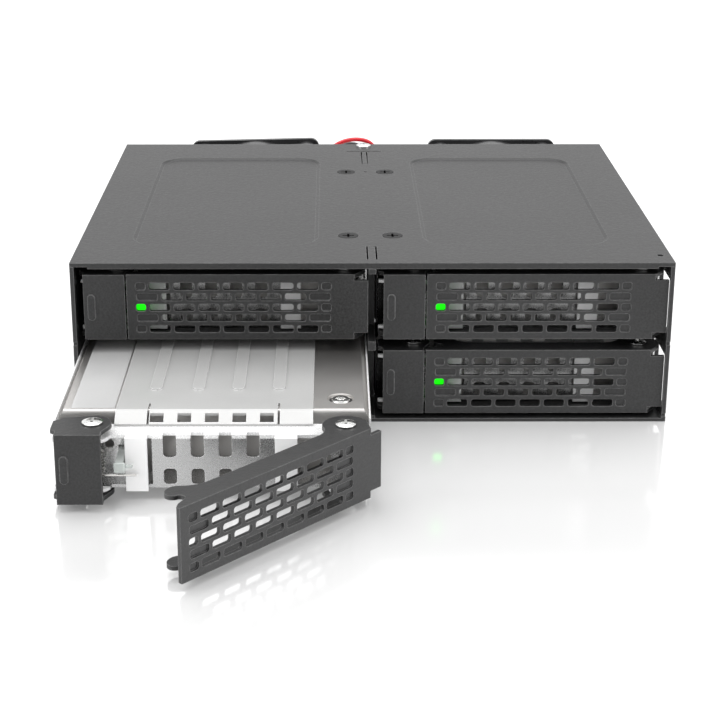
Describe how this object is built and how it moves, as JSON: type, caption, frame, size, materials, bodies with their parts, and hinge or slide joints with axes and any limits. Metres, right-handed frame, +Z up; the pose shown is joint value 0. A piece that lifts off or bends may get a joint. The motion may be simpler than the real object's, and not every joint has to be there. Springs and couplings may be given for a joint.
{
  "type": "hot swap drive cage",
  "caption": "Hot swap cage for small drives in a half-height bay: sheet-metal shell, sliding trays with perforated swing doors and sprung lock blocks, rear fans and sockets.",
  "frame": {"origin": "centre of the housing's bottom face", "axes": "+X to the right seen from the front, +Y from the doors towards the fans, +Z up"},
  "size_m": [0.146, 0.2266, 0.0424],
  "materials": {
    "black_steel": "fine-textured black powder coat",
    "bright_sheet": "bright zinc-plated sheet",
    "drive_metal": "bead-blasted aluminium",
    "black_plastic": "moulded black",
    "fan_plastic": "moulded black, slight sheen",
    "white_plastic": "moulded natural nylon",
    "board": "solder mask",
    "socket_metal": "stamped tin-plated",
    "bright_screw": "nickel-plated",
    "black_screw": "black oxide",
    "spring_steel": "drawn wire",
    "clear_plastic": "clear moulded light pipe",
    "wire_red": "smooth insulation",
    "wire_black": "smooth insulation"
  },
  "bodies": {
    "root": {"housing_shell": "black_steel", "top_cover": "black_steel", "centre_divider": "black_steel", "guide_rails": "bright_sheet", "rear_panel": "black_steel", "backplane_board": "board", "drive_receptacles": "black_plastic", "data_sockets": "socket_metal", "power_sockets": "black_plastic", "fan_headers": "white_plastic", "fan_plugs": "white_plastic", "switch_body": "socket_metal", "board_standoffs": "bright_screw", "fan_frame_left": "fan_plastic", "fan_frame_right": "fan_plastic", "fan_screws": "black_screw", "cover_screws": "black_screw", "fan_lead_red_left": "wire_red", "fan_lead_black_left": "wire_black", "fan_lead_red_right": "wire_red", "fan_lead_black_right": "wire_black"},
    "tray_upper_left": {"tray_frame_upper_left": "bright_sheet", "tray_screws_upper_left": "bright_screw", "latch_spring_upper_left": "spring_steel", "light_pipe_upper_left": "clear_plastic", "drive_case_upper_left": "drive_metal", "drive_lid_upper_left": "drive_metal", "drive_plug_upper_left": "black_plastic"},
    "door_upper_left": {"door_upper_left": "black_steel"},
    "lock_upper_left": {"lock_block_upper_left": "black_steel"},
    "tray_lower_left": {"tray_frame_lower_left": "bright_sheet", "tray_screws_lower_left": "bright_screw", "latch_spring_lower_left": "spring_steel", "light_pipe_lower_left": "clear_plastic", "drive_case_lower_left": "drive_metal", "drive_lid_lower_left": "drive_metal", "drive_plug_lower_left": "black_plastic"},
    "door_lower_left": {"door_lower_left": "black_steel"},
    "lock_lower_left": {"lock_block_lower_left": "black_steel"},
    "tray_upper_right": {"tray_frame_upper_right": "bright_sheet", "tray_screws_upper_right": "bright_screw", "latch_spring_upper_right": "spring_steel", "light_pipe_upper_right": "clear_plastic", "drive_case_upper_right": "drive_metal", "drive_lid_upper_right": "drive_metal", "drive_plug_upper_right": "black_plastic"},
    "door_upper_right": {"door_upper_right": "black_steel"},
    "lock_upper_right": {"lock_block_upper_right": "black_steel"},
    "tray_lower_right": {"tray_frame_lower_right": "bright_sheet", "tray_screws_lower_right": "bright_screw", "latch_spring_lower_right": "spring_steel", "light_pipe_lower_right": "clear_plastic", "drive_case_lower_right": "drive_metal", "drive_lid_lower_right": "drive_metal", "drive_plug_lower_right": "black_plastic"},
    "door_lower_right": {"door_lower_right": "black_steel"},
    "lock_lower_right": {"lock_block_lower_right": "black_steel"},
    "impeller_left": {"fan_impeller_left": "fan_plastic"},
    "impeller_right": {"fan_impeller_right": "fan_plastic"},
    "switch_knob": {"fan_switch_knob": "black_plastic"}
  },
  "joints": [
    {"name": "tray_upper_left_slide", "type": "slide", "parent": "root", "child": "tray_upper_left", "axis": [0, -1, 0], "range_m": [0, 0.11]},
    {"name": "door_upper_left_hinge", "type": "hinge", "parent": "tray_upper_left", "child": "door_upper_left", "pos_m": [-0.0068, -0.0548, 0.02975], "axis": [0, 0, 1], "range_deg": [0, 90]},
    {"name": "lock_upper_left_pivot", "type": "hinge", "parent": "tray_upper_left", "child": "lock_upper_left", "pos_m": [-0.0625, -0.0534, 0.02975], "axis": [0, 0, 1], "range_deg": [-9, 0], "stiffness_Nm_per_rad": 0.02, "springref_deg": 8.59},
    {"name": "tray_lower_left_slide", "type": "slide", "parent": "root", "child": "tray_lower_left", "axis": [0, -1, 0], "range_m": [-0.052, 0.058]},
    {"name": "door_lower_left_hinge", "type": "hinge", "parent": "tray_lower_left", "child": "door_lower_left", "pos_m": [-0.0068, -0.1068, 0.0102], "axis": [0, 0, 1], "range_deg": [-46, 44]},
    {"name": "lock_lower_left_pivot", "type": "hinge", "parent": "tray_lower_left", "child": "lock_lower_left", "pos_m": [-0.0625, -0.1054, 0.0102], "axis": [0, 0, 1], "range_deg": [-9, 0], "stiffness_Nm_per_rad": 0.02, "springref_deg": 8.59},
    {"name": "tray_upper_right_slide", "type": "slide", "parent": "root", "child": "tray_upper_right", "axis": [0, -1, 0], "range_m": [0, 0.11]},
    {"name": "door_upper_right_hinge", "type": "hinge", "parent": "tray_upper_right", "child": "door_upper_right", "pos_m": [0.0661, -0.0548, 0.02975], "axis": [0, 0, 1], "range_deg": [0, 90]},
    {"name": "lock_upper_right_pivot", "type": "hinge", "parent": "tray_upper_right", "child": "lock_upper_right", "pos_m": [0.0104, -0.0534, 0.02975], "axis": [0, 0, 1], "range_deg": [-9, 0], "stiffness_Nm_per_rad": 0.02, "springref_deg": 8.59},
    {"name": "tray_lower_right_slide", "type": "slide", "parent": "root", "child": "tray_lower_right", "axis": [0, -1, 0], "range_m": [0, 0.11]},
    {"name": "door_lower_right_hinge", "type": "hinge", "parent": "tray_lower_right", "child": "door_lower_right", "pos_m": [0.0661, -0.0548, 0.0102], "axis": [0, 0, 1], "range_deg": [0, 90]},
    {"name": "lock_lower_right_pivot", "type": "hinge", "parent": "tray_lower_right", "child": "lock_lower_right", "pos_m": [0.0104, -0.0534, 0.0102], "axis": [0, 0, 1], "range_deg": [-9, 0], "stiffness_Nm_per_rad": 0.02, "springref_deg": 8.59},
    {"name": "impeller_left_spin", "type": "hinge", "parent": "root", "child": "impeller_left", "pos_m": [-0.0333, 0.0662, 0.02065], "axis": [0, 1, 0], "continuous": true},
    {"name": "impeller_right_spin", "type": "hinge", "parent": "root", "child": "impeller_right", "pos_m": [0.0403, 0.0662, 0.02065], "axis": [0, 1, 0], "continuous": true},
    {"name": "switch_knob_slide", "type": "slide", "parent": "root", "child": "switch_knob", "axis": [0, 0, 1], "range_m": [0, 0.0024]}
  ]
}
